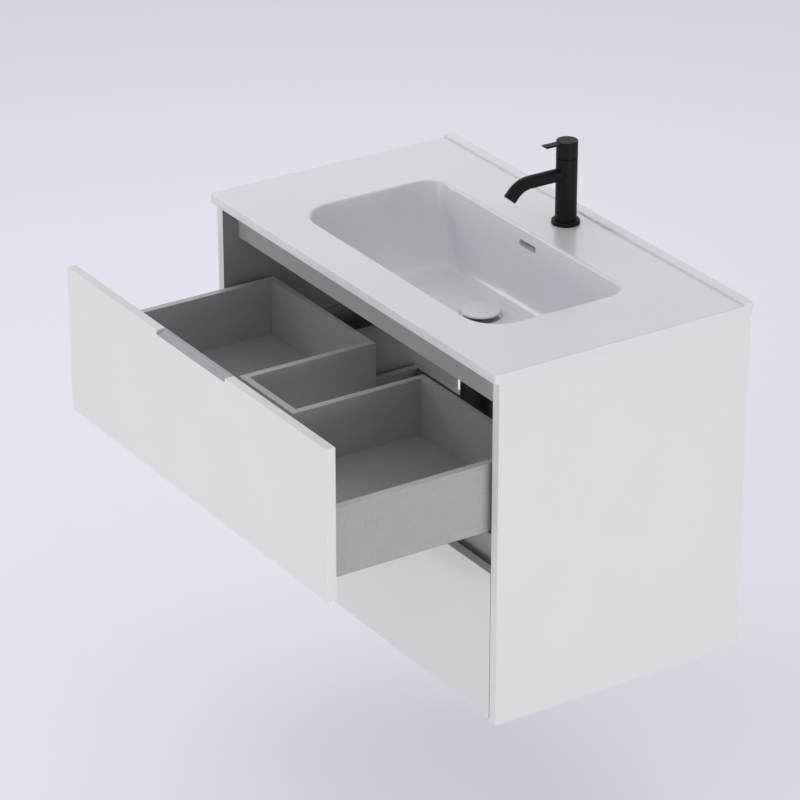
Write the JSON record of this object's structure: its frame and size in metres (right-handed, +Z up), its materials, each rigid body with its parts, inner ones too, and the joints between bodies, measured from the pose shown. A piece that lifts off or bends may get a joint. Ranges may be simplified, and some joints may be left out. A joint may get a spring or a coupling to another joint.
{
  "type": "wall-hung vanity",
  "caption": "White wall-hung vanity: two handleless drawers, a cast washbasin with a wide bowl, and a black lever tap.",
  "frame": {"origin": "centre of the four wall screws, in the wall plane", "axes": "+X to the right seen from the front, +Y into the wall, +Z up"},
  "size_m": [0.811, 0.735, 0.723],
  "materials": {
    "lacquer": "white satin lacquer on board",
    "grey_board": "grey melamine on board",
    "linen_board": "grey melamine with a fine linen grain",
    "beech": "fluted beech",
    "zinc_steel": "zinc plated",
    "basin_ceramic": "white glaze",
    "tap_black": "matte black",
    "brass": "turned",
    "rubber": "matte",
    "cartridge_plastic": "moulded",
    "clip_plastic": "moulded",
    "trap_plastic": "moulded, dark grey",
    "grip_aluminium": "anodised, satin",
    "chrome": "polished"
  },
  "bodies": {
    "cabinet": {"side_panel_left": "lacquer", "side_panel_right": "lacquer", "cabinet_floor": "grey_board", "top_front_rail": "grey_board", "middle_front_rail": "grey_board", "upper_back_rail": "grey_board", "lower_back_rail": "grey_board", "carcass_dowels": "beech", "wall_plates": "zinc_steel", "hanger_hooks": "zinc_steel", "hanger_bodies": "zinc_steel", "hanger_adjusters": "zinc_steel", "upper_cabinet_rails": "zinc_steel", "lower_cabinet_rails": "zinc_steel", "runner_screws": "zinc_steel", "washbasin": "basin_ceramic", "tap_body": "tap_black", "tap_flange": "tap_black", "tap_spout": "tap_black", "tap_aerator": "clip_plastic", "tap_cartridge": "cartridge_plastic", "tap_shank": "brass", "tap_washer": "rubber", "tap_nut": "brass", "waste_body": "chrome", "waste_gasket": "rubber", "waste_nut": "chrome", "trap_inlet_nut": "trap_plastic", "trap_dip_pipe": "trap_plastic", "trap_collar_nut": "trap_plastic", "trap_bottle": "trap_plastic", "trap_cup": "trap_plastic", "trap_outlet_pipe": "trap_plastic", "trap_outlet_nut": "trap_plastic"},
    "tap_handle": {"tap_cap": "tap_black", "tap_lever": "tap_black", "tap_stem": "zinc_steel"},
    "waste_plug": {"waste_cover": "basin_ceramic", "cover_stem": "chrome"},
    "upper_drawer": {"upper_front": "lacquer", "upper_grip": "grip_aluminium", "upper_side_left": "linen_board", "upper_side_right": "linen_board", "upper_backs": "linen_board", "upper_dividers": "linen_board", "upper_bay_wall": "linen_board", "upper_floor": "linen_board", "upper_drawer_rails": "zinc_steel", "upper_clips": "clip_plastic"},
    "upper_runner": {"upper_middle_rails": "zinc_steel"},
    "lower_drawer": {"lower_front": "lacquer", "lower_grip": "grip_aluminium", "lower_side_left": "linen_board", "lower_side_right": "linen_board", "lower_back": "linen_board", "lower_floor": "linen_board", "lower_drawer_rails": "zinc_steel", "lower_clips": "clip_plastic"},
    "lower_runner": {"lower_middle_rails": "zinc_steel"}
  },
  "joints": [
    {"name": "upper_drawer_slide", "type": "slide", "parent": "cabinet", "child": "upper_drawer", "axis": [0, -1, 0], "range_m": [-0.282, 0.048]},
    {"name": "upper_runner_slide", "type": "slide", "parent": "cabinet", "child": "upper_runner", "axis": [0, -1, 0], "range_m": [-0.141, 0.024]},
    {"name": "lower_drawer_slide", "type": "slide", "parent": "cabinet", "child": "lower_drawer", "axis": [0, -1, 0], "range_m": [0, 0.33]},
    {"name": "lower_runner_slide", "type": "slide", "parent": "cabinet", "child": "lower_runner", "axis": [0, -1, 0], "range_m": [0, 0.165]},
    {"name": "tap_handle_turn", "type": "hinge", "parent": "cabinet", "child": "tap_handle", "pos_m": [0, -0.057, 0.2], "axis": [0, 0, 1], "range_deg": [0, 100]},
    {"name": "waste_cover_slide", "type": "slide", "parent": "cabinet", "child": "waste_plug", "axis": [0, 0, 1], "range_m": [-0.007, 0]}
  ],
  "couplings": [
    {"joint": "upper_runner_slide", "follows": "upper_drawer_slide", "ratio": 0.5},
    {"joint": "lower_runner_slide", "follows": "lower_drawer_slide", "ratio": 0.5}
  ]
}
